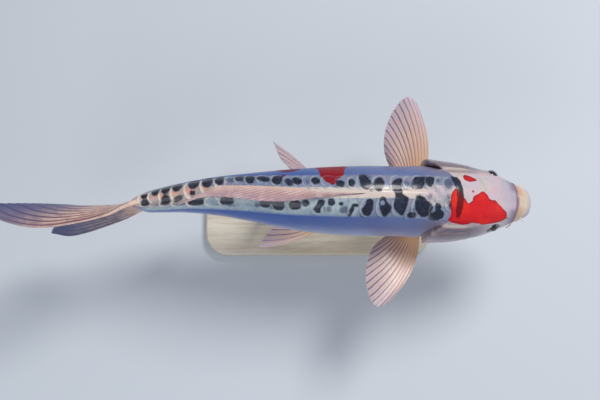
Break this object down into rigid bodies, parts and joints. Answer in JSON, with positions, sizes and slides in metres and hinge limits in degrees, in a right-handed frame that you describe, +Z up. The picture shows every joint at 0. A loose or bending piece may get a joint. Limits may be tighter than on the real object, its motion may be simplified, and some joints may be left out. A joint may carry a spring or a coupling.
{
  "type": "koi carp model",
  "caption": "Still, life-size koi carp in a gently curved swimming pose with spread fins, held by two short rods on a flat oblong display base.",
  "frame": {"origin": "on the floor, under the centre of the whole model's box", "axes": "+X towards the head, +Y to the fish's left, +Z up"},
  "size_m": [0.5911, 0.2428, 0.2432],
  "materials": {
    "skin": "glossy painted resin, pinkish white with red and black patches",
    "lips": "satin painted resin, cream",
    "gill_cover": "glossy painted resin, greyish cream",
    "eye": "glass eye, dark with a gold ring",
    "fin": "satin cast resin, peach to lilac with fine rays",
    "stand_wood": "satin pale wood",
    "stand_steel": "brushed steel rod",
    "stand_pad": "dark grey soft pad"
  },
  "bodies": {
    "root": {"head": "skin", "lip_upper": "lips", "lip_lower": "lips", "barbel_front_left": "lips", "barbel_front_right": "lips", "barbel_rear_left": "lips", "barbel_rear_right": "lips", "eye_left": "eye", "eye_right": "eye", "gill_cover_left": "gill_cover", "gill_cover_right": "gill_cover", "trunk_front": "skin", "trunk_middle": "skin", "trunk_rear": "skin", "tail_stem": "skin", "dorsal_fin": "fin", "anal_fin": "fin", "pectoral_fin_left": "fin", "pectoral_fin_right": "fin", "pelvic_fin_left": "fin", "pelvic_fin_right": "fin", "tail_fin_upper": "fin", "tail_fin_lower": "fin", "stand_base": "stand_wood", "stand_foot_front": "stand_steel", "stand_foot_rear": "stand_steel", "stand_rod_front": "stand_steel", "stand_rod_rear": "stand_steel", "stand_cradle_front": "stand_pad", "stand_cradle_rear": "stand_pad"}
  },
  "joints": []
}
